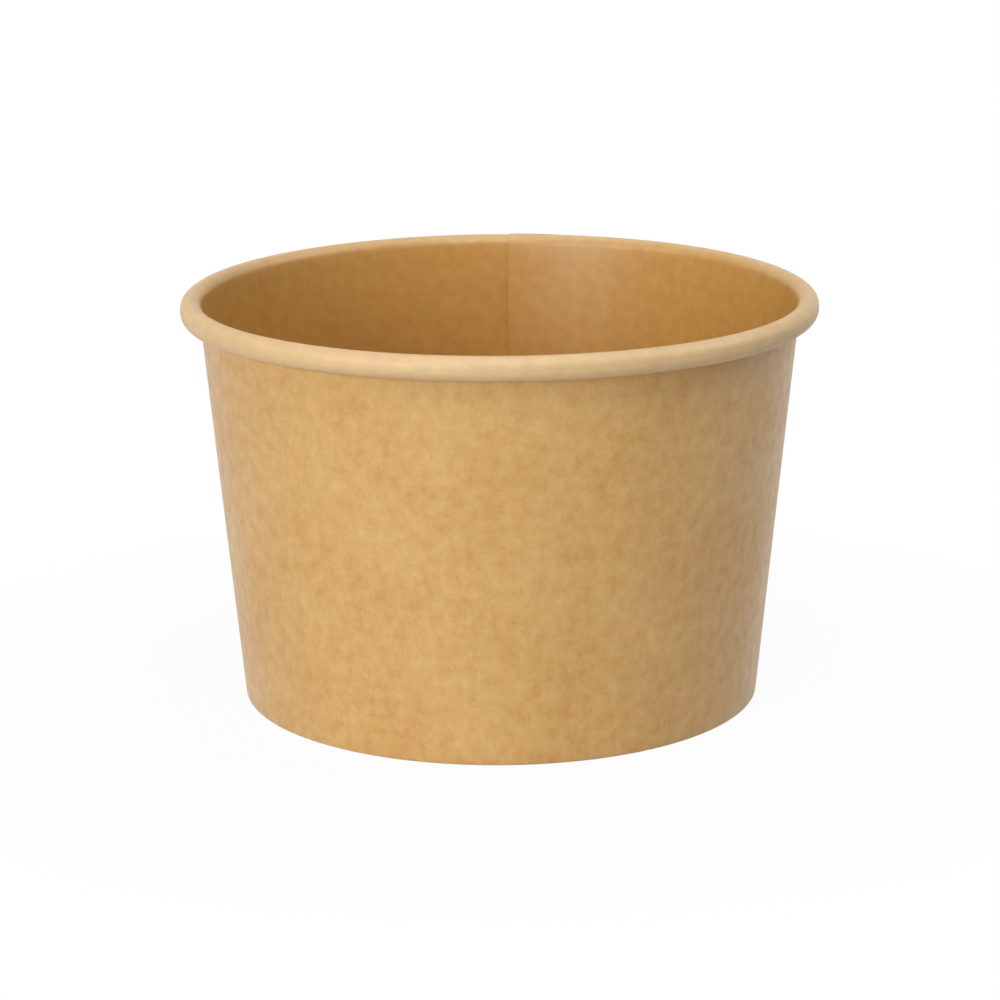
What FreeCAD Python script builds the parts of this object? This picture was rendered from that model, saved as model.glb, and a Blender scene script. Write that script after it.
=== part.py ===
import FreeCAD, Part
import math
import os
import Sketcher

# A round paperboard tub for ice cream, open at the top.
# Z is the tub's axis and points up, the tub stands on the plane z = 0, and all sizes are millimetres.
# Azimuths are measured from +X towards +Y, so the side seam is on the far side, near +Y.

DRIVING_SIZES = [
    # The whole tub: its rim is measured outside the roll and its base outside the wall at the foot.
    ("tub_height", 62.0),
    ("rim_diameter", 96.0),
    ("base_diameter", 78.6),
    # The side wall's board and the rim rolled from it: the roll's edge tucks in past its lowest point.
    ("board_thickness", 0.4),
    ("curl_width", 3.2),
    ("curl_height", 3.6),
    ("curl_tuck_angle", 35.0),
    # The foot: the board is creased and folded up inside, round the bottom's skirt.
    ("hem_height", 5.2),
    ("crease_radius", 0.1),
    # The side seam: pressed, so its outer layer adds less than the board's whole thickness.
    ("seam_azimuth", 88.4),
    ("seam_overlap_angle", 9.0),
    ("seam_ramp_angle", 4.0),
    ("seam_layer_thickness", 0.25),
    # The bottom: its upper face lies at the floor height, and its bend is measured inside.
    ("floor_height", 6.9),
    ("bottom_thickness", 0.4),
    ("bottom_bend_radius", 0.4),
    # The bond between the boards, and how far the skirt's edge stays above the foot's crease.
    ("bond_gap", 0.02),
    ("skirt_lift", 0.2),
]

# The numbers by which a sketch knows its own axes and the points of an edge.
SKETCH_AXIS_X, SKETCH_AXIS_Y = -1, -2
START, END, CENTRE = 1, 2, 3


def make_sheet(document):
    """The spreadsheet with one named cell for each driving size."""
    sheet = document.addObject("Spreadsheet::Sheet", "Sizes")
    for row, (name, value) in enumerate(DRIVING_SIZES, start=1):
        cell = "B%d" % row
        sheet.set("A%d" % row, name)
        sheet.set(cell, str(value))
        sheet.setAlias(cell, name)
    document.recompute()
    return sheet


def origin_plane(body, role):
    """The body's own origin plane with that role."""
    for feature in body.Origin.OriginFeatures:
        if feature.Role == role:
            return feature
    raise ValueError("no origin plane " + role)


def sketch_at_azimuth(body, name, azimuth):
    """A sketch whose x is the distance from the tub's axis and whose y is the height."""
    sketch = body.newObject("Sketcher::SketchObject", name)
    sketch.AttachmentSupport = [(origin_plane(body, "XZ_Plane"), "")]
    sketch.MapMode = "FlatFace"
    sketch.AttachmentOffset = FreeCAD.Placement(
        FreeCAD.Vector(0, 0, 0), FreeCAD.Rotation(FreeCAD.Vector(0, 1, 0), 1)
    )
    sketch.setExpression("AttachmentOffset.Rotation.Angle", azimuth)
    return sketch


def line(sketch, start, end):
    """A straight edge from one (x, y) to another."""
    first = FreeCAD.Vector(start[0], start[1], 0)
    second = FreeCAD.Vector(end[0], end[1], 0)
    return sketch.addGeometry(Part.LineSegment(first, second), False)


def arc(sketch, centre, radius, start_angle, end_angle):
    """A round edge that runs counterclockwise between two angles in radians."""
    middle = FreeCAD.Vector(centre[0], centre[1], 0)
    circle = Part.Circle(middle, FreeCAD.Vector(0, 0, 1), radius)
    return sketch.addGeometry(Part.ArcOfCircle(circle, start_angle, end_angle), False)


def helper_point(sketch, place):
    """A construction point."""
    return sketch.addGeometry(Part.Point(FreeCAD.Vector(place[0], place[1], 0)), True)


def helper_circle(sketch, centre, radius):
    """A construction circle."""
    middle = FreeCAD.Vector(centre[0], centre[1], 0)
    circle = Part.Circle(middle, FreeCAD.Vector(0, 0, 1), radius)
    return sketch.addGeometry(circle, True)


def constrain(sketch, kind, *elements):
    """A geometric constraint between edges and points."""
    sketch.addConstraint(Sketcher.Constraint(kind, *elements))


def dimension(sketch, kind, elements, value, expression):
    """A dimension that is bound to the sheet; the value is only where the solver starts."""
    index = sketch.addConstraint(Sketcher.Constraint(kind, *elements, value))
    sketch.setExpression("Constraints[%d]" % index, expression)


def along(start, direction, length):
    """The point that lies that far from the start in a direction."""
    return (start[0] + direction[0] * length, start[1] + direction[1] * length)


def on_circle(centre, radius, angle):
    """The point of a circle at an angle in radians."""
    return (centre[0] + radius * math.cos(angle), centre[1] + radius * math.sin(angle))


def slide_to_height(place, lean, height):
    """A point slid along the leaning wall until it is at a height."""
    return (place[0] + (height - place[1]) * math.tan(lean), height)


def wall_lean(sheet, shift):
    """The angle in radians at which a layer's outer face leaves the base and runs into the rim."""
    curl_radius = sheet.curl_width / 2
    across = sheet.rim_diameter / 2 - curl_radius - sheet.base_diameter / 2 - shift
    up = sheet.tub_height - curl_radius
    lining_radius = curl_radius - shift - sheet.board_thickness
    return math.atan2(across, up) - math.asin(lining_radius / math.hypot(across, up))


def wall_section(body, sheet, name, azimuth, shift, shift_cell):
    """The whole section of the side wall's board: hem, foot crease, wall and rolled rim.

    The shift moves the section towards the board's outer face, where the seam's outer layer lies.
    """
    board = sheet.board_thickness
    curl_radius = sheet.curl_width / 2
    outside_radius = curl_radius - shift
    lining_radius = outside_radius - board
    curl_x = sheet.rim_diameter / 2 - curl_radius
    top_centre = (curl_x, sheet.tub_height - curl_radius)
    under_centre = (curl_x, sheet.tub_height - sheet.curl_height + curl_radius)
    base = (sheet.base_diameter / 2 + shift, 0.0)
    slot = sheet.bottom_thickness + 2 * sheet.bond_gap + 2 * shift
    corner_radius = sheet.crease_radius + board

    lean = wall_lean(sheet, shift)
    inward = (-math.cos(lean), math.sin(lean))
    right = 0.0
    down = -math.pi / 2
    out_of_wall = -lean
    into_tub = math.pi - lean
    tuck = down - math.radians(sheet.curl_tuck_angle)
    outer_corner = slide_to_height(along(base, inward, corner_radius), lean, corner_radius)
    inner_corner = slide_to_height(
        along(base, inward, 2 * board + slot - corner_radius), lean, corner_radius
    )
    hem_top = slide_to_height(along(base, inward, board + slot), lean, sheet.hem_height)

    sketch = sketch_at_azimuth(body, name, azimuth)
    wall_inside = line(
        sketch,
        on_circle(outer_corner, sheet.crease_radius, out_of_wall),
        on_circle(top_centre, outside_radius, into_tub),
    )
    curl_top = arc(sketch, top_centre, outside_radius, right, into_tub)
    curl_side = line(
        sketch,
        on_circle(top_centre, outside_radius, right),
        on_circle(under_centre, outside_radius, right),
    )
    curl_under = arc(sketch, under_centre, outside_radius, tuck, right)
    curl_edge = line(
        sketch,
        on_circle(under_centre, outside_radius, tuck),
        on_circle(under_centre, lining_radius, tuck),
    )
    lining_under = arc(sketch, under_centre, lining_radius, tuck, right)
    lining_side = line(
        sketch,
        on_circle(under_centre, lining_radius, right),
        on_circle(top_centre, lining_radius, right),
    )
    lining_top = arc(sketch, top_centre, lining_radius, right, into_tub)
    wall_outside = line(
        sketch,
        on_circle(top_centre, lining_radius, into_tub),
        on_circle(outer_corner, corner_radius, out_of_wall),
    )
    foot_outer = arc(sketch, outer_corner, corner_radius, down, out_of_wall)
    foot_flat = line(
        sketch,
        on_circle(outer_corner, corner_radius, down),
        on_circle(inner_corner, corner_radius, down),
    )
    foot_inner = arc(sketch, inner_corner, corner_radius, into_tub, down + 2 * math.pi)
    hem_inside = line(
        sketch,
        on_circle(inner_corner, corner_radius, into_tub),
        along(hem_top, inward, board),
    )
    hem_edge = line(sketch, along(hem_top, inward, board), hem_top)
    hem_outside = line(sketch, hem_top, on_circle(inner_corner, sheet.crease_radius, into_tub))
    crease_inner = arc(
        sketch, inner_corner, sheet.crease_radius, into_tub, down + 2 * math.pi
    )
    crease_flat = line(
        sketch,
        on_circle(inner_corner, sheet.crease_radius, down),
        on_circle(outer_corner, sheet.crease_radius, down),
    )
    crease_outer = arc(sketch, outer_corner, sheet.crease_radius, down, out_of_wall)
    base_point = helper_point(sketch, base)

    smooth_joints = [
        (wall_inside, END, curl_top, END),
        (curl_top, START, curl_side, START),
        (curl_side, END, curl_under, END),
        (lining_under, END, lining_side, START),
        (lining_side, END, lining_top, START),
        (lining_top, END, wall_outside, START),
        (wall_outside, END, foot_outer, END),
        (foot_outer, START, foot_flat, START),
        (foot_flat, END, foot_inner, END),
        (foot_inner, START, hem_inside, START),
        (hem_outside, END, crease_inner, START),
        (crease_inner, END, crease_flat, START),
        (crease_flat, END, crease_outer, START),
        (crease_outer, END, wall_inside, START),
    ]
    for joint in smooth_joints:
        constrain(sketch, "Tangent", *joint)
    cut_corners = [
        (curl_under, START, curl_edge, START),
        (curl_edge, END, lining_under, START),
        (hem_inside, END, hem_edge, START),
        (hem_edge, END, hem_outside, START),
    ]
    for joint in cut_corners:
        constrain(sketch, "Coincident", *joint)
    shared_centres = [
        (curl_top, lining_top),
        (curl_under, lining_under),
        (foot_outer, crease_outer),
        (foot_inner, crease_inner),
    ]
    for face, lining in shared_centres:
        constrain(sketch, "Coincident", face, CENTRE, lining, CENTRE)

    constrain(sketch, "Vertical", curl_side)
    constrain(sketch, "Vertical", lining_side)
    constrain(sketch, "Horizontal", foot_flat)
    constrain(sketch, "Horizontal", crease_flat)
    constrain(sketch, "Equal", curl_top, curl_under)
    constrain(sketch, "Equal", foot_outer, foot_inner)
    constrain(sketch, "Parallel", wall_inside, wall_outside)
    constrain(sketch, "Parallel", hem_inside, wall_outside)
    constrain(sketch, "Parallel", hem_outside, wall_inside)
    constrain(sketch, "Perpendicular", hem_edge, hem_outside)
    constrain(sketch, "PointOnObject", foot_flat, START, SKETCH_AXIS_X)
    constrain(sketch, "PointOnObject", base_point, START, SKETCH_AXIS_X)
    constrain(sketch, "PointOnObject", base_point, START, wall_outside)
    constrain(sketch, "PointOnObject", curl_under, CENTRE, curl_edge)

    dimension(
        sketch, "DistanceX", (base_point, START), base[0], "Sizes.base_diameter / 2 + " + shift_cell
    )
    dimension(
        sketch,
        "DistanceX",
        (curl_top, CENTRE),
        top_centre[0],
        "Sizes.rim_diameter / 2 - Sizes.curl_width / 2",
    )
    dimension(
        sketch,
        "DistanceY",
        (curl_top, CENTRE),
        top_centre[1],
        "Sizes.tub_height - Sizes.curl_width / 2",
    )
    dimension(
        sketch,
        "DistanceY",
        (curl_under, CENTRE),
        under_centre[1],
        "Sizes.tub_height - Sizes.curl_height + Sizes.curl_width / 2",
    )
    dimension(
        sketch, "Radius", (curl_top,), outside_radius, "Sizes.curl_width / 2 - " + shift_cell
    )
    dimension(
        sketch,
        "Radius",
        (lining_top,),
        lining_radius,
        "Sizes.curl_width / 2 - Sizes.board_thickness - " + shift_cell,
    )
    dimension(
        sketch,
        "Angle",
        (curl_edge,),
        tuck + math.pi,
        "(90 - Sizes.curl_tuck_angle) * 1 deg",
    )
    dimension(
        sketch,
        "Radius",
        (foot_outer,),
        corner_radius,
        "Sizes.crease_radius + Sizes.board_thickness",
    )
    dimension(
        sketch,
        "Distance",
        (hem_outside, START, wall_inside),
        slot,
        "Sizes.bottom_thickness + 2 * Sizes.bond_gap + 2 * " + shift_cell,
    )
    dimension(sketch, "DistanceY", (hem_outside, START), sheet.hem_height, "Sizes.hem_height")
    return sketch


def bottom_section(body, sheet):
    """Half the section of the bottom: a flat disc whose edge is turned down into a skirt."""
    curl_radius = sheet.curl_width / 2
    curl_centre = (sheet.rim_diameter / 2 - curl_radius, sheet.tub_height - curl_radius)
    base = (sheet.base_diameter / 2, 0.0)
    wall_depth = sheet.board_thickness + sheet.bond_gap
    lean = wall_lean(sheet, 0.0)
    inward = (-math.cos(lean), math.sin(lean))
    inside_radius = sheet.bottom_bend_radius
    outside_radius = inside_radius + sheet.bottom_thickness
    bend_height = sheet.floor_height - outside_radius
    bend_centre = slide_to_height(
        along(base, inward, wall_depth + outside_radius), lean, bend_height
    )
    skirt_foot = slide_to_height(
        along(base, inward, wall_depth), lean, sheet.board_thickness + sheet.skirt_lift
    )
    skirt_foot_inside = along(skirt_foot, inward, sheet.bottom_thickness)
    underside = sheet.floor_height - sheet.bottom_thickness
    up = math.pi / 2

    sketch = sketch_at_azimuth(body, "BottomSection", "0")
    floor_face = line(
        sketch, (0, sheet.floor_height), on_circle(bend_centre, outside_radius, up)
    )
    bend_outside = arc(sketch, bend_centre, outside_radius, -lean, up)
    skirt_outside = line(sketch, on_circle(bend_centre, outside_radius, -lean), skirt_foot)
    skirt_edge = line(sketch, skirt_foot, skirt_foot_inside)
    skirt_inside = line(
        sketch, skirt_foot_inside, on_circle(bend_centre, inside_radius, -lean)
    )
    bend_inside = arc(sketch, bend_centre, inside_radius, -lean, up)
    under_face = line(sketch, on_circle(bend_centre, inside_radius, up), (0, underside))
    axis = line(sketch, (0, underside), (0, sheet.floor_height))
    base_point = helper_point(sketch, base)
    wall_tangent = helper_circle(sketch, curl_centre, curl_radius + sheet.bond_gap)

    smooth_joints = [
        (floor_face, END, bend_outside, END),
        (bend_outside, START, skirt_outside, START),
        (skirt_inside, END, bend_inside, START),
        (bend_inside, END, under_face, START),
    ]
    for joint in smooth_joints:
        constrain(sketch, "Tangent", *joint)
    cut_corners = [
        (skirt_outside, END, skirt_edge, START),
        (skirt_edge, END, skirt_inside, START),
        (under_face, END, axis, START),
        (axis, END, floor_face, START),
        (bend_outside, CENTRE, bend_inside, CENTRE),
    ]
    for joint in cut_corners:
        constrain(sketch, "Coincident", *joint)
    constrain(sketch, "Horizontal", floor_face)
    constrain(sketch, "Horizontal", under_face)
    constrain(sketch, "Vertical", axis)
    constrain(sketch, "PointOnObject", axis, START, SKETCH_AXIS_Y)
    constrain(sketch, "Parallel", skirt_inside, skirt_outside)
    constrain(sketch, "Perpendicular", skirt_edge, skirt_outside)
    constrain(sketch, "Tangent", skirt_outside, wall_tangent)
    constrain(sketch, "PointOnObject", base_point, START, SKETCH_AXIS_X)

    dimension(
        sketch, "DistanceX", (base_point, START), base[0], "Sizes.base_diameter / 2"
    )
    dimension(
        sketch,
        "DistanceX",
        (wall_tangent, CENTRE),
        curl_centre[0],
        "Sizes.rim_diameter / 2 - Sizes.curl_width / 2",
    )
    dimension(
        sketch,
        "DistanceY",
        (wall_tangent, CENTRE),
        curl_centre[1],
        "Sizes.tub_height - Sizes.curl_width / 2",
    )
    dimension(
        sketch,
        "Radius",
        (wall_tangent,),
        curl_radius + sheet.bond_gap,
        "Sizes.curl_width / 2 + Sizes.bond_gap",
    )
    dimension(
        sketch,
        "Distance",
        (base_point, START, skirt_outside),
        wall_depth,
        "Sizes.board_thickness + Sizes.bond_gap",
    )
    dimension(
        sketch, "DistanceY", (floor_face, START), sheet.floor_height, "Sizes.floor_height"
    )
    dimension(sketch, "Radius", (bend_inside,), inside_radius, "Sizes.bottom_bend_radius")
    dimension(
        sketch,
        "Radius",
        (bend_outside,),
        outside_radius,
        "Sizes.bottom_bend_radius + Sizes.bottom_thickness",
    )
    dimension(
        sketch,
        "DistanceY",
        (skirt_outside, END),
        skirt_foot[1],
        "Sizes.board_thickness + Sizes.skirt_lift",
    )
    return sketch


def turned(body, name, sketch, angle, clockwise):
    """A sketch turned round the tub's axis by an angle that may be bound to the sheet."""
    feature = body.newObject("PartDesign::Revolution", name)
    feature.Profile = sketch
    feature.ReferenceAxis = (sketch, ["V_Axis"])
    feature.Reversed = clockwise
    feature.setExpression("Angle", angle)
    sketch.Visibility = False
    return feature


def make_side_wall(document, sheet):
    """The side wall: one board, overlapped and bonded in a seam on the far side.

    The board's inner end starts at the seam's azimuth and runs clockwise all the way round. Then
    it ramps outward and passes behind its own start, which makes the seam's outer layer.
    """
    body = document.addObject("PartDesign::Body", "side_wall")
    body.Label = "side_wall"
    ramp_start = "Sizes.seam_azimuth + Sizes.seam_ramp_angle"
    inner_layer = wall_section(body, sheet, "InnerLayerSection", ramp_start, 0.0, "0")
    outer_layer = wall_section(
        body,
        sheet,
        "OuterLayerSection",
        "Sizes.seam_azimuth",
        sheet.seam_layer_thickness,
        "Sizes.seam_layer_thickness",
    )
    document.recompute()
    turned(body, "PlainWall", inner_layer, "360 - Sizes.seam_ramp_angle", False)
    document.recompute()
    ramp = body.newObject("PartDesign::AdditiveLoft", "SeamRamp")
    ramp.Profile = inner_layer
    ramp.Sections = [outer_layer]
    ramp.Ruled = True
    document.recompute()
    turned(body, "SeamOuterLayer", outer_layer, "Sizes.seam_overlap_angle", True)
    document.recompute()
    return body


def make_bottom_disc(document, sheet):
    """The bottom: a round board with its edge turned down, bonded between the wall and its hem."""
    body = document.addObject("PartDesign::Body", "bottom_disc")
    body.Label = "bottom_disc"
    section = bottom_section(body, sheet)
    document.recompute()
    turned(body, "BottomDisc", section, "360", False)
    document.recompute()
    return body


def check_document(document):
    """Every object recomputed without an error, and every sketch fully fixed by its dimensions."""
    for item in document.Objects:
        if "Invalid" in item.State or "Error" in item.State:
            raise RuntimeError("%s failed: %s" % (item.Name, item.State))
        if item.TypeId == "Sketcher::SketchObject" and item.solve() != 0:
            raise RuntimeError("%s can't be solved" % item.Name)


def check_shape(body):
    """The sub-part is one valid solid."""
    shape = body.Shape
    if shape.isNull() or not shape.isValid() or len(shape.Solids) != 1:
        raise RuntimeError("%s is not one valid solid" % body.Label)


def main():
    document = FreeCAD.newDocument("PaperTub")
    sheet = make_sheet(document)
    bodies = [make_side_wall(document, sheet), make_bottom_disc(document, sheet)]
    check_document(document)
    for body in bodies:
        check_shape(body)
    os.makedirs("parts", exist_ok=True)
    for body in bodies:
        body.Shape.exportStep("parts/%s.step" % body.Label)


main()
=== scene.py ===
import math

import bmesh
import bpy
from mathutils import Matrix, Vector


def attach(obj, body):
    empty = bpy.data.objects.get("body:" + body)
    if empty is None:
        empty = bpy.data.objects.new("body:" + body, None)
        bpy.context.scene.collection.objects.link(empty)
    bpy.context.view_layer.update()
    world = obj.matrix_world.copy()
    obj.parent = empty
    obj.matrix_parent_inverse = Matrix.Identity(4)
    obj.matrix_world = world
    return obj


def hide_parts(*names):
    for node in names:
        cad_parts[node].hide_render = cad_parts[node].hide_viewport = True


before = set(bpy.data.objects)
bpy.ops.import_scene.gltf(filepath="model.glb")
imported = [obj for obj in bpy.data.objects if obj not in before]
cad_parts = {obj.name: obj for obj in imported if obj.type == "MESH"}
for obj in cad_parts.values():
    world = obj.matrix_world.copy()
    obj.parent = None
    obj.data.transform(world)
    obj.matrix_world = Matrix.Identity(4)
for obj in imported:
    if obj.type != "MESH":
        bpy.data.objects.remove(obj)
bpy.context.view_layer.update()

# Lengths are metres and angles are degrees. Azimuths run from +X towards +Y.
MM = 0.001
RIM_RADIUS = 48.0 * MM
TUB_HEIGHT = 62.0 * MM
BASE_RADIUS = 39.3 * MM
BOARD = 0.4 * MM
CURL_RADIUS = 1.6 * MM
CURL_HEIGHT = 3.6 * MM
CURL_TUCK = 35.0
CREASE_RADIUS = 0.1 * MM
SKIRT_SLOT = 0.44 * MM
BOND_GAP = 0.02 * MM
HEM_HEIGHT = 5.2 * MM
FLOOR_HEIGHT = 6.9 * MM
BOTTOM_BEND = 0.8 * MM
SKIRT_LIFT = 0.2 * MM
FLOOR_DISH = 0.25 * MM
DISH_RADIUS = 0.95 * BASE_RADIUS

# The board is wrapped clockwise from the seam and ends over its own start. Just before the seam the
# outer layer moves out: half of the step slowly over the drift, and the rest over the short ramp.
SEAM_AZIMUTH = 87.8
SEAM_OVERLAP = 9.0
SEAM_DRIFT = 7.0
SEAM_RAMP = 1.0
WALL_SEAM_STEP = 0.2 * MM
CURL_SEAM_STEP = 0.08 * MM
CURL_SEAM_SWELL = 0.09 * MM
SWELL_FADE = 3.6
CURL_BLEND = 5.4 * MM

# The rim's slow waves: how many in a turn, their size, where they start and how far they turn
# between the foot and the rim
WAVES_OUTWARD = ((3, 0.123 * MM, 90.0, 0.0), (7, 0.015 * MM, -57.3, 172.0), (19, 0.008 * MM, 22.9, 286.5))
WAVES_UPWARD = ((2, 0.115 * MM, -51.3, 0.0), (3, 0.048 * MM, 0.0, 0.0))

TURN_STEP = 1.0
FINE_TURN_STEP = 0.25
MERGE_DISTANCE = 0.001 * MM
LEVEL_MARGIN = 0.01 * MM
SHARP_ANGLE = 50.0


def smooth(value, start, end):
    """Rises smoothly from 0 at the start to 1 at the end."""
    share = min(max((value - start) / (end - start), 0.0), 1.0)
    return share * share * (3 - 2 * share)


# The board's section


class Walk:
    """Draws a board's section in the XZ plane as one line of straights and tangent bends."""

    def __init__(self, place, heading):
        self.bm = bmesh.new()
        self.run = self.bm.verts.layers.float.new("run")
        self.tip = self.bm.verts.new((place[0], 0, place[1]))
        self.heading = math.radians(heading)

    def grow(self, place, length):
        """Adds one short edge to the line's tip."""
        grown = bmesh.ops.extrude_vert_indiv(self.bm, verts=[self.tip])["verts"][0]
        grown.co = place
        grown[self.run] = self.tip[self.run] + length
        self.tip = grown

    def straight(self, length, pieces=1):
        """Goes straight ahead."""
        step = length / pieces
        ahead = Vector((math.cos(self.heading), 0, math.sin(self.heading))) * step
        for _ in range(pieces):
            self.grow(self.tip.co + ahead, step)

    def bend(self, radius, turn, pieces):
        """Turns left for a positive angle in degrees and right for a negative one."""
        toward = self.heading + math.copysign(math.pi / 2, turn)
        centre = self.tip.co + Vector((math.cos(toward), 0, math.sin(toward))) * radius
        step = math.radians(turn) / pieces
        for _ in range(pieces):
            turned = Matrix.Rotation(-step, 3, "Y") @ (self.tip.co - centre)
            self.grow(centre + turned, radius * abs(step))
        self.heading += math.radians(turn)


def wall_lean():
    """The angle at which the straight wall meets the base and runs into the rim, in degrees."""
    across = RIM_RADIUS - CURL_RADIUS - BASE_RADIUS
    up = TUB_HEIGHT - CURL_RADIUS
    rim_share = math.asin((CURL_RADIUS - BOARD) / math.hypot(across, up))
    return math.degrees(math.atan2(across, up) - rim_share)


def on_wall(depth, height):
    """A point that lies that deep behind the wall's outer face, at a height above the foot."""
    lean = math.radians(wall_lean())
    return (BASE_RADIUS - depth / math.cos(lean) + height * math.tan(lean), height)


def section_up_to_rim():
    """The wall's board along its coated face: down the hem, round the foot and up to the rim."""
    lean = wall_lean()
    lean_sin = math.sin(math.radians(lean))
    lean_cos = math.cos(math.radians(lean))
    crease_height = BOARD + CREASE_RADIUS
    hem_bottom = crease_height + CREASE_RADIUS * lean_sin
    wall_bottom = crease_height - CREASE_RADIUS * lean_sin
    wall_top = TUB_HEIGHT - CURL_RADIUS + CURL_RADIUS * lean_sin
    walk = Walk(on_wall(BOARD + SKIRT_SLOT, HEM_HEIGHT), -90 - lean)
    walk.straight((HEM_HEIGHT - hem_bottom) / lean_cos, pieces=4)
    walk.bend(CREASE_RADIUS, 90 + lean, pieces=4)
    walk.straight((SKIRT_SLOT - 2 * CREASE_RADIUS) / lean_cos)
    walk.bend(CREASE_RADIUS, 90 - lean, pieces=4)
    walk.straight((wall_top - wall_bottom) / lean_cos, pieces=30)
    return walk


def rim_start():
    """How far along the coated face the board goes before it bends over into the rim."""
    walk = section_up_to_rim()
    length = walk.tip[walk.run]
    walk.bm.free()
    return length


def wall_section():
    """The wall's whole board along its coated face, with its top rolled outward into the rim."""
    walk = section_up_to_rim()
    walk.bend(CURL_RADIUS, wall_lean() - 180, pieces=20)
    walk.straight(CURL_HEIGHT - 2 * CURL_RADIUS)
    walk.bend(CURL_RADIUS, -90 - CURL_TUCK, pieces=14)
    return walk


def bottom_section():
    """The bottom's board along its coated face: out from the middle, over the bend, down the skirt."""
    lean = wall_lean()
    lean_sin = math.sin(math.radians(lean))
    lean_cos = math.cos(math.radians(lean))
    bend_height = FLOOR_HEIGHT - BOTTOM_BEND
    bend_place = on_wall(BOARD + BOND_GAP + BOTTOM_BEND, bend_height)
    skirt_top = bend_height - BOTTOM_BEND * lean_sin
    walk = Walk((0, FLOOR_HEIGHT), 0)
    walk.straight(bend_place[0], pieces=24)
    walk.bend(BOTTOM_BEND, -90 - lean, pieces=8)
    walk.straight((skirt_top - BOARD - SKIRT_LIFT) / lean_cos, pieces=4)
    return walk


# The pieces


def face_coated_side(bm):
    """Makes every face point the way the coated side does, which is up at the highest face."""
    bmesh.ops.recalc_face_normals(bm, faces=bm.faces[:])
    highest = max(bm.faces, key=lambda face: face.calc_center_median().z)
    if highest.normal.z < 0:
        bmesh.ops.reverse_faces(bm, faces=bm.faces[:])
    bm.normal_update()


def seam_push(travel, height):
    """How far the coated face lies behind its plain place after travelling round by an angle."""
    curl_bottom = TUB_HEIGHT - CURL_HEIGHT
    on_curl = smooth(height, curl_bottom - CURL_BLEND, curl_bottom)
    drift = smooth(travel, 360 - SEAM_DRIFT, 360 + SEAM_DRIFT)
    over_start = drift + (1 - drift) * smooth(travel, 360 - SEAM_RAMP, 360)
    first_layer = 1 - smooth(travel, SEAM_OVERLAP - SWELL_FADE, SEAM_OVERLAP + SWELL_FADE)
    step = WALL_SEAM_STEP + (CURL_SEAM_STEP - WALL_SEAM_STEP) * on_curl
    return over_start * step - first_layer * on_curl * CURL_SEAM_SWELL


def foot_lift(travel, height):
    """At the foot the first layer's fold nests in the outer layer's fold, and so stands higher."""
    inside_fold = 1 - smooth(travel, SEAM_OVERLAP, SEAM_OVERLAP + SEAM_RAMP)
    return inside_fold * WALL_SEAM_STEP * (1 - smooth(height, 0, HEM_HEIGHT))


def add_waves(waves, azimuth, share):
    """The sum of some waves at an azimuth in radians and at a share of the tub's height."""
    total = 0.0
    for count, size, start, turn in waves:
        total += size * math.sin(count * azimuth + math.radians(start + turn * share))
    return total


def rim_wobble(place):
    """A wrapped board is never quite round or level: a few slow waves that grow towards the rim."""
    azimuth = math.atan2(place.y, place.x)
    share = place.z / TUB_HEIGHT
    outward = add_waves(WAVES_OUTWARD, azimuth, share)
    upward = add_waves(WAVES_UPWARD, azimuth, share)
    waves = Vector((math.cos(azimuth) * outward, math.sin(azimuth) * outward, upward))
    return waves * share * share


def turn_steps():
    """The turns that carry the section round, finer where the board climbs over its own start."""
    up_to_ramp = [TURN_STEP] * round((360 - SEAM_RAMP) / TURN_STEP)
    up_the_ramp = [FINE_TURN_STEP] * round(SEAM_RAMP / FINE_TURN_STEP)
    over_the_start = [TURN_STEP] * round(SEAM_OVERLAP / TURN_STEP)
    return up_to_ramp + up_the_ramp + over_the_start


def wrap_wall_board():
    """Wraps the section clockwise round the axis from the seam and past its own start."""
    walk = wall_section()
    bm = walk.bm
    travel = bm.verts.layers.float.new("travel")
    start = Matrix.Rotation(math.radians(SEAM_AZIMUTH), 3, "Z")
    bmesh.ops.rotate(bm, verts=bm.verts[:], cent=(0, 0, 0), matrix=start)
    ring = bm.verts[:] + bm.edges[:]
    travelled = 0.0
    for step in turn_steps():
        travelled += step
        turned = bmesh.ops.spin(
            bm,
            geom=ring,
            cent=(0, 0, 0),
            axis=(0, 0, 1),
            dvec=(0, 0, 0),
            angle=-math.radians(step),
            steps=1,
            use_merge=False,
            use_duplicate=False,
        )
        ring = turned["geom_last"]
        for vert in ring:
            if isinstance(vert, bmesh.types.BMVert):
                vert[travel] = travelled
    face_coated_side(bm)
    mean_radius = 0.5 * (RIM_RADIUS + BASE_RADIUS)
    board_map = bm.loops.layers.uv.new("board")
    for face in bm.faces:
        for loop in face.loops:
            around = math.radians(loop.vert[travel]) * mean_radius
            loop[board_map].uv = (around, loop.vert[walk.run])
    for vert in bm.verts:
        push = vert.normal * seam_push(vert[travel], vert.co.z)
        if vert.co.z < HEM_HEIGHT:
            push.z = 0
        lift = Vector((0, 0, foot_lift(vert[travel], vert.co.z)))
        vert.co += rim_wobble(vert.co) + lift - push
    return bm


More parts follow.
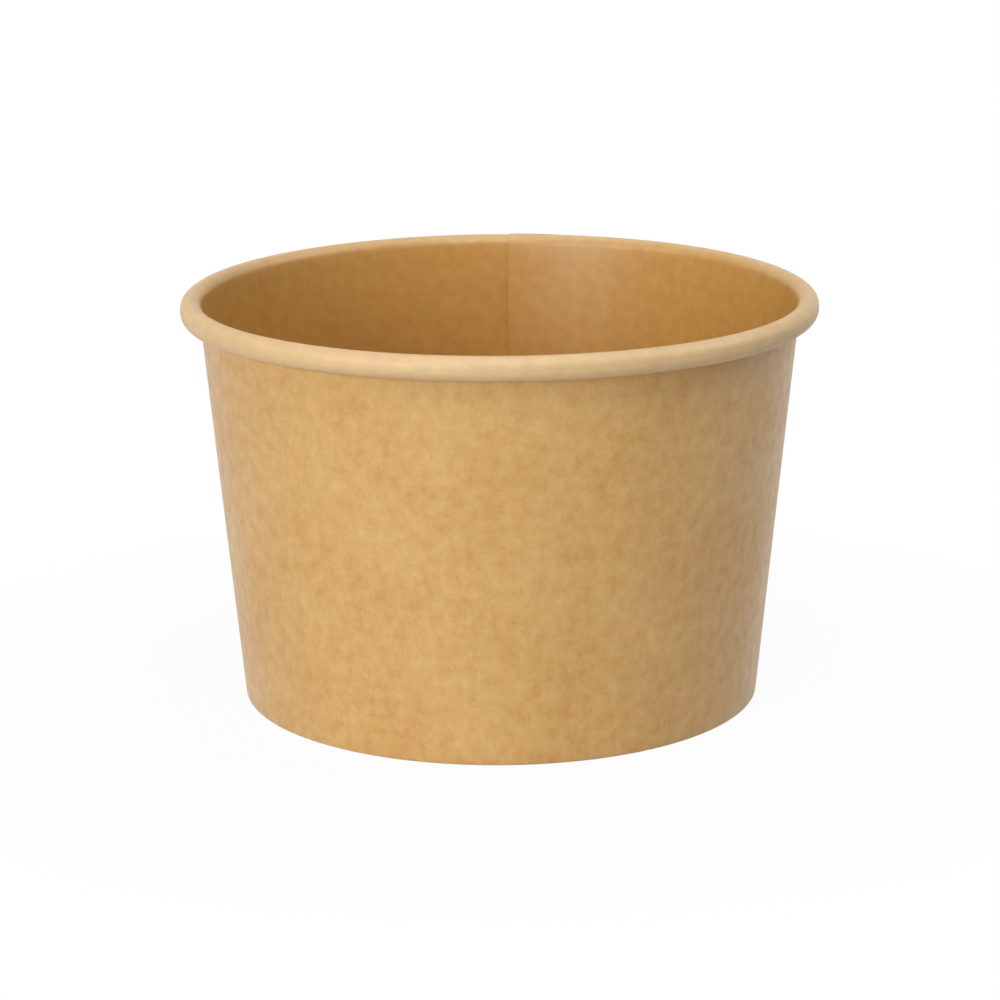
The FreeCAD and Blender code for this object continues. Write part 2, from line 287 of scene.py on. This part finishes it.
def shape_bottom_board():
    """Spins the bottom's section into a disc with a skirt, and gives the floor its slight dish."""
    walk = bottom_section()
    bm = walk.bm
    bmesh.ops.spin(
        bm,
        geom=bm.verts[:] + bm.edges[:],
        cent=(0, 0, 0),
        axis=(0, 0, 1),
        dvec=(0, 0, 0),
        angle=2 * math.pi,
        steps=round(360 / TURN_STEP),
        use_merge=True,
        use_duplicate=False,
    )
    bmesh.ops.remove_doubles(bm, verts=bm.verts[:], dist=MERGE_DISTANCE)
    face_coated_side(bm)
    board_map = bm.loops.layers.uv.new("board")
    for face in bm.faces:
        for loop in face.loops:
            place = loop.vert.co
            out = Vector((place.x, place.y)).normalized() * loop.vert[walk.run]
            loop[board_map].uv = (out.x, out.y)
    for vert in bm.verts:
        if vert.co.z > FLOOR_HEIGHT - LEVEL_MARGIN:
            from_middle = math.hypot(vert.co.x, vert.co.y)
            vert.co.z -= FLOOR_DISH * (1 - smooth(from_middle, 0.0, DISH_RADIUS))
    return bm


def board_piece(name, bm, node, materials):
    """Gives a board its thickness and its three materials, and puts it in the CAD node's place."""
    sheet = bpy.data.meshes.new(name + "_sheet")
    bm.to_mesh(sheet)
    bm.free()
    for material in materials:
        sheet.materials.append(material)
    piece = bpy.data.objects.new(name, sheet)
    bpy.context.scene.collection.objects.link(piece)
    thicken = piece.modifiers.new("thickness", "SOLIDIFY")
    thicken.thickness = BOARD
    thicken.offset = -1
    thicken.use_even_offset = True
    thicken.material_offset = 1
    thicken.material_offset_rim = 2
    settled = piece.evaluated_get(bpy.context.evaluated_depsgraph_get())
    mesh = bpy.data.meshes.new_from_object(settled)
    mesh.name = name
    piece.modifiers.clear()
    piece.data = mesh
    bpy.data.meshes.remove(sheet)
    mesh.shade_smooth()
    mesh.set_sharp_from_angle(angle=math.radians(SHARP_ANGLE))
    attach(piece, "root")
    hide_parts(node)


# The kraft board's look


class Nodes:
    """Adds nodes to a tree and feeds their sockets with values or with other nodes' sockets."""

    def __init__(self, tree):
        self.tree = tree

    def add(self, kind, feeds=None, **settings):
        """Adds a node with its settings and its inputs, and returns it."""
        made = self.tree.nodes.new(kind)
        for name, value in settings.items():
            setattr(made, name, value)
        self.feed_all(made, feeds or {})
        return made

    def feed_all(self, node, feeds):
        """Feeds a node's inputs, given by their names or numbers."""
        for socket, value in feeds.items():
            self.feed(node.inputs[socket], value)

    def feed(self, socket, value):
        """Links another node's socket, or sets a plain value."""
        if isinstance(value, bpy.types.NodeSocket):
            self.tree.links.new(value, socket)
        else:
            socket.default_value = value

    def math(self, operation, *values):
        """One sum, product or other operation on numbers."""
        feeds = dict(enumerate(values))
        return self.add("ShaderNodeMath", feeds, operation=operation).outputs[0]

    def ramp(self, value, low, high, kind="LINEAR", low_result=0.0, high_result=1.0):
        """Goes from one result to another while the value goes from low to high."""
        feeds = {
            "Value": value,
            "From Min": low,
            "From Max": high,
            "To Min": low_result,
            "To Max": high_result,
        }
        return self.add("ShaderNodeMapRange", feeds, interpolation_type=kind).outputs[0]

    def mix_colors(self, share, first, second, blend="MIX"):
        """Two colours in one. In this node the colours are inputs 6 and 7, and output 2."""
        feeds = {"Factor": share, 6: first, 7: second}
        return self.add("ShaderNodeMix", feeds, data_type="RGBA", blend_type=blend).outputs[2]

    def noise(self, vector, scale, detail, roughness=0.5):
        """A flat noise pattern between 0 and 1 round a middle of about a half."""
        feeds = {"Vector": vector, "Scale": scale, "Detail": detail, "Roughness": roughness}
        return self.add("ShaderNodeTexNoise", feeds, noise_dimensions="2D").outputs["Fac"]

    def swing(self, value, amount):
        """The pattern's swing round its middle, times an amount."""
        return self.math("MULTIPLY", self.math("SUBTRACT", value, 0.5), amount)

    def streaks(self, vector, angle, along, across):
        """Noise that is drawn out along one direction, with its sizes in metres."""
        feeds = {"Vector": vector, "Rotation": (0, 0, math.radians(angle))}
        turned = self.add("ShaderNodeMapping", feeds)
        feeds = {"Vector": turned.outputs[0], "Scale": (1 / along, 1 / across, 1)}
        drawn = self.add("ShaderNodeMapping", feeds)
        return self.noise(drawn.outputs[0], 1.0, 2.0)


def start_group(name, inputs, outputs):
    """A new node group with its named sockets, given as names by their kind."""
    group = bpy.data.node_groups.new(name, "ShaderNodeTree")
    for side, sockets in (("INPUT", inputs), ("OUTPUT", outputs)):
        for kind, names in sockets.items():
            for socket in names:
                group.interface.new_socket(socket, in_out=side, socket_type="NodeSocket" + kind)
    return group


# The pulp's patterns, as cells in a metre of board
SMALL_CLOUDS = 420
LARGE_CLOUDS = 75
FIBRE_WAVER = 450
PULP_SPECKS = 2600
TINT_DRIFTS = {"Red Pulp": 210, "Yellow Pulp": 370}

# Each layer of fibres: its direction, its length and width, and its strength
FIBRE_LAYERS = (
    (84, 2.6 * MM, 0.30 * MM, 1.0),
    (28, 2.0 * MM, 0.26 * MM, 0.7),
    (-38, 2.0 * MM, 0.28 * MM, 0.7),
)
WAVER_SIZE = 2.0 * MM

# How much the clouds, fibres and specks stand out of the sheet, and how much the clouds shine
CLOUD_RELIEF = 1.2
FIBRE_RELIEF = 0.6
SPECK_RELIEF = 0.3
CLOUD_SHINE = 0.15


def build_pulp_group():
    """Unbleached pulp in a sheet: cloudy formation, fibres, specks and a drift of tint."""
    group = start_group(
        "kraft_pulp",
        {
            "Vector": ["Map"],
            "Color": ["Light Pulp", "Dark Pulp", "Red Pulp", "Yellow Pulp"],
            "Float": ["Clouds", "Fibres", "Specks", "Roughness"],
        },
        {"Color": ["Color"], "Float": ["Roughness", "Height"]},
    )
    nodes = Nodes(group)
    given = nodes.add("NodeGroupInput").outputs
    sheet = given["Map"]

    small_clouds = nodes.swing(nodes.noise(sheet, SMALL_CLOUDS, 3, 0.6), 1.0)
    large_clouds = nodes.swing(nodes.noise(sheet, LARGE_CLOUDS, 2, 0.5), 0.5)
    clouds = nodes.math("ADD", small_clouds, large_clouds)
    specks = nodes.swing(nodes.noise(sheet, PULP_SPECKS, 2, 0.7), 1.0)

    waver = nodes.add(
        "ShaderNodeTexNoise",
        {"Vector": sheet, "Scale": FIBRE_WAVER, "Detail": 1.0},
        noise_dimensions="2D",
    )
    wavering_sheet = nodes.add(
        "ShaderNodeVectorMath",
        {0: waver.outputs["Color"], 1: (WAVER_SIZE, WAVER_SIZE, 0), 2: sheet},
        operation="MULTIPLY_ADD",
    ).outputs[0]
    fibres = 0.0
    for direction, length, width, strength in FIBRE_LAYERS:
        layer = nodes.streaks(wavering_sheet, direction, length, width)
        fibres = nodes.math("ADD", fibres, nodes.swing(layer, strength))

    shade = nodes.math("MULTIPLY_ADD", clouds, given["Clouds"], 0.5)
    shade = nodes.math("MULTIPLY_ADD", fibres, given["Fibres"], shade)
    shade = nodes.math("MULTIPLY_ADD", specks, given["Specks"], shade)
    tinted = nodes.mix_colors(shade, given["Dark Pulp"], given["Light Pulp"])
    for tint, scale in TINT_DRIFTS.items():
        drift = nodes.noise(wavering_sheet, scale, 2, 0.55)
        share = nodes.ramp(drift, 0.35, 0.65)
        tinted = nodes.mix_colors(share, tinted, given[tint], blend="MULTIPLY")

    gloss = nodes.math("MULTIPLY_ADD", clouds, -CLOUD_SHINE, given["Roughness"])
    relief = nodes.math("MULTIPLY", clouds, CLOUD_RELIEF)
    relief = nodes.math("MULTIPLY_ADD", fibres, FIBRE_RELIEF, relief)
    relief = nodes.math("MULTIPLY_ADD", specks, SPECK_RELIEF, relief)
    nodes.add("NodeGroupOutput", {"Color": tinted, "Roughness": gloss, "Height": relief})
    return group


def build_rim_sheen_group():
    """Board that is rolled over the rim: its coating is stretched there and duller, and a painted sheen
    is added to its colour.
    """
    group = start_group(
        "rim_coating_and_painted_sheen",
        {
            "Vector": ["Map"],
            "Color": ["Color", "Painted Sheen"],
            "Float": ["Roughness", "Extra Roughness", "Start", "End"],
        },
        {"Color": ["Color"], "Float": ["Roughness"]},
    )
    nodes = Nodes(group)
    given = nodes.add("NodeGroupInput").outputs
    along = nodes.add("ShaderNodeSeparateXYZ", {0: given["Map"]}).outputs["Y"]
    share = nodes.ramp(along, given["Start"], given["End"], kind="SMOOTHSTEP")
    # Painted sheen: a near-white colour added to the board's colour where it rolls over the rim.
    sheened = nodes.mix_colors(share, given["Color"], given["Painted Sheen"], blend="ADD")
    dull = nodes.math("MULTIPLY_ADD", share, given["Extra Roughness"], given["Roughness"])
    nodes.add("NodeGroupOutput", {"Color": sheened, "Roughness": dull})
    return group


def board_material(name, pulp_group, pulp, gloss, relief, rim_sheen_group=None, rim_sheen=None):
    """A board surface: its pulp, the shine of its finish and the depth of its relief in metres."""
    material = bpy.data.materials.new(name)
    material.use_nodes = True
    nodes = Nodes(material.node_tree)
    shader = material.node_tree.nodes["Principled BSDF"]
    board_map = nodes.add("ShaderNodeUVMap", uv_map="board").outputs["UV"]
    board = nodes.add("ShaderNodeGroup", node_tree=pulp_group)
    nodes.feed_all(board, {"Map": board_map, **pulp})
    bump = nodes.add("ShaderNodeBump", {"Height": board.outputs["Height"], "Distance": relief})
    look = board.outputs
    # Over the rolled rim the colour gets a painted sheen and the roughness rises.
    if rim_sheen_group:
        rolled = nodes.add("ShaderNodeGroup", node_tree=rim_sheen_group)
        plain_look = {"Color": look["Color"], "Roughness": look["Roughness"]}
        nodes.feed_all(rolled, {"Map": board_map, **plain_look, **rim_sheen})
        look = rolled.outputs
    nodes.feed(shader.inputs["Base Color"], look["Color"])
    nodes.feed(shader.inputs["Roughness"], look["Roughness"])
    nodes.feed(shader.inputs["Normal"], bump.outputs["Normal"])
    nodes.feed_all(shader, gloss)
    return material


def color(red, green, blue):
    """A linear colour with full alpha."""
    return (red, green, blue, 1.0)


pulp_group = build_pulp_group()
pulp_tints = {
    "Red Pulp": color(1.0, 0.96, 0.965),
    "Yellow Pulp": color(1.0, 1.0, 0.97),
}
coated_face = board_material(
    "kraft_coated_face",
    pulp_group,
    {
        **pulp_tints,
        "Light Pulp": color(0.65, 0.375, 0.1),
        "Dark Pulp": color(0.505, 0.258, 0.055),
        "Clouds": 0.95,
        "Fibres": 0.22,
        "Specks": 0.16,
        "Roughness": 0.38,
    },
    {"IOR": 1.54},
    0.006 * MM,
    build_rim_sheen_group(),
    {
        # The rim's painted sheen, a near-white added to the colour over the rolled rim, which also grows
        # duller there.
        "Painted Sheen": color(0.16, 0.19, 0.175),
        "Extra Roughness": 0.1,
        "Start": rim_start() - 0.6 * MM,
        "End": rim_start() + 3.2 * MM,
    },
)
outer_face = board_material(
    "kraft_outer_face",
    pulp_group,
    {
        **pulp_tints,
        "Light Pulp": color(0.75, 0.476, 0.179),
        "Dark Pulp": color(0.59, 0.316, 0.083),
        "Clouds": 1.25,
        "Fibres": 0.4,
        "Specks": 0.32,
        "Roughness": 0.44,
    },
    {"IOR": 1.5, "Coat Weight": 0.17, "Coat Roughness": 0.26},
    0.013 * MM,
)
# The cut edges are darker than the board's faces. This darkening is partly painted shade, for the line of
# shade along the seam.
cut_edge = board_material(
    "kraft_cut_edge",
    pulp_group,
    {
        **pulp_tints,
        "Light Pulp": color(0.46, 0.285, 0.115),
        "Dark Pulp": color(0.29, 0.16, 0.055),
        "Clouds": 0.8,
        "Fibres": 1.2,
        "Specks": 1.0,
        "Roughness": 0.85,
    },
    {"IOR": 1.4},
    0.04 * MM,
)

board_finish = [coated_face, outer_face, cut_edge]
board_piece("wall_and_rolled_rim", wrap_wall_board(), "side_wall", board_finish)
board_piece("bottom", shape_bottom_board(), "bottom_disc", board_finish)

# The camera

CAMERA_LENS = 129.33
CAMERA_SENSOR = 36.0
CAMERA_DISTANCE = 549.4 * MM
CAMERA_ELEVATION = 14.72
CAMERA_ROLL = -0.38
TARGET_HEIGHT = 29.41 * MM

elevation = math.radians(CAMERA_ELEVATION)
lens = bpy.data.cameras.new("camera")
lens.lens = CAMERA_LENS
lens.sensor_width = CAMERA_SENSOR
camera = bpy.data.objects.new("camera", lens)
back = CAMERA_DISTANCE * math.cos(elevation)
up = TARGET_HEIGHT + CAMERA_DISTANCE * math.sin(elevation)
place = Matrix.Translation((0, -back, up))
tilt = Matrix.Rotation(math.radians(90) - elevation, 4, "X")
roll = Matrix.Rotation(math.radians(CAMERA_ROLL), 4, "Z")
camera.matrix_world = place @ tilt @ roll
bpy.context.scene.collection.objects.link(camera)
bpy.context.scene.camera = camera

# The stage: a white floor that keeps a faint shadow, white surroundings and soft lamps

FLOOR_SIZE = 4.0
FLOOR_DEPTH = 0.01 * MM
FLOOR_PAINT = 0.52
FLOOR_SHADOW = 0.04
SHADOW_START = 50 * MM
SHADOW_END = 130 * MM
WORLD_LIGHT = 0.04
LAMP_DISTANCE = 1.6
LAMP_SIZE = 0.8

# Each lamp's azimuth, its height in degrees above the horizon, and its power in watts
LAMPS = {
    "low_front_lamp": (-121, 10, 15.0),
    "left_lamp": (-148, 25, 3.9),
    "high_front_lamp": (-88, 58, 9.2),
    "right_lamp": (10, 41, 6.6),
    "top_lamp": (90, 80, 4.4),
}


def seen_directly(nodes):
    """1 for rays from the camera and for rays that a glossy or clear surface sends on."""
    path = nodes.add("ShaderNodeLightPath").outputs
    mirrored = nodes.math("MAXIMUM", path["Is Glossy Ray"], path["Is Transmission Ray"])
    return nodes.math("MAXIMUM", path["Is Camera Ray"], mirrored)


def white_floor():
    """A white that lights as a plain pale floor does, and shows as white with a faint shadow."""
    material = bpy.data.materials.new("white_floor")
    material.use_nodes = True
    nodes = Nodes(material.node_tree)
    material.node_tree.nodes.clear()
    paint_color = color(FLOOR_PAINT, FLOOR_PAINT, FLOOR_PAINT)
    paint = nodes.add("ShaderNodeBsdfDiffuse", {"Color": paint_color})
    glow = nodes.add("ShaderNodeEmission", {"Color": color(1, 1, 1), "Strength": 1.0})
    place = nodes.add("ShaderNodeTexCoord").outputs["Object"]
    away = nodes.add("ShaderNodeVectorMath", {0: place}, operation="LENGTH").outputs["Value"]
    white = nodes.ramp(away, SHADOW_START, SHADOW_END, "SMOOTHSTEP", 1 - FLOOR_SHADOW, 1.0)
    share = nodes.math("MULTIPLY", seen_directly(nodes), white)
    both = nodes.add("ShaderNodeMixShader", {0: share, 1: paint.outputs[0], 2: glow.outputs[0]})
    nodes.add("ShaderNodeOutputMaterial", {"Surface": both.outputs[0]})
    return material


def lay_floor():
    """One large plane just under the tub's foot."""
    bm = bmesh.new()
    bmesh.ops.create_grid(bm, x_segments=1, y_segments=1, size=FLOOR_SIZE / 2)
    bmesh.ops.translate(bm, verts=bm.verts[:], vec=(0, 0, -FLOOR_DEPTH))
    mesh = bpy.data.meshes.new("floor")
    bm.to_mesh(mesh)
    bm.free()
    mesh.materials.append(white_floor())
    floor = bpy.data.objects.new("floor", mesh)
    bpy.context.scene.collection.objects.link(floor)


def light_surroundings():
    """White wherever it is seen or mirrored, and a soft even light otherwise."""
    world = bpy.data.worlds.new("studio")
    world.use_nodes = True
    nodes = Nodes(world.node_tree)
    sky = world.node_tree.nodes["Background"]
    sky.inputs["Color"].default_value = color(1, 1, 1)
    extra = nodes.math("MULTIPLY", seen_directly(nodes), 1 - WORLD_LIGHT)
    nodes.feed(sky.inputs["Strength"], nodes.math("ADD", extra, WORLD_LIGHT))
    bpy.context.scene.world = world


def hang_lamp(name, azimuth, height, power):
    """A square soft lamp that faces the tub, placed by azimuth and height in degrees."""
    data = bpy.data.lights.new(name, "AREA")
    data.size = LAMP_SIZE
    data.energy = power
    lamp = bpy.data.objects.new(name, data)
    around = math.radians(azimuth)
    up = math.radians(height)
    out = Vector((math.cos(around) * math.cos(up), math.sin(around) * math.cos(up), math.sin(up)))
    lamp.location = out * LAMP_DISTANCE + Vector((0, 0, TUB_HEIGHT / 2))
    lamp.rotation_euler = out.to_track_quat("Z", "Y").to_euler()
    bpy.context.scene.collection.objects.link(lamp)


lay_floor()
light_surroundings()
for lamp_name, (azimuth, height, power) in LAMPS.items():
    hang_lamp(lamp_name, azimuth, height, power)

bpy.context.scene.view_settings.view_transform = "Standard"
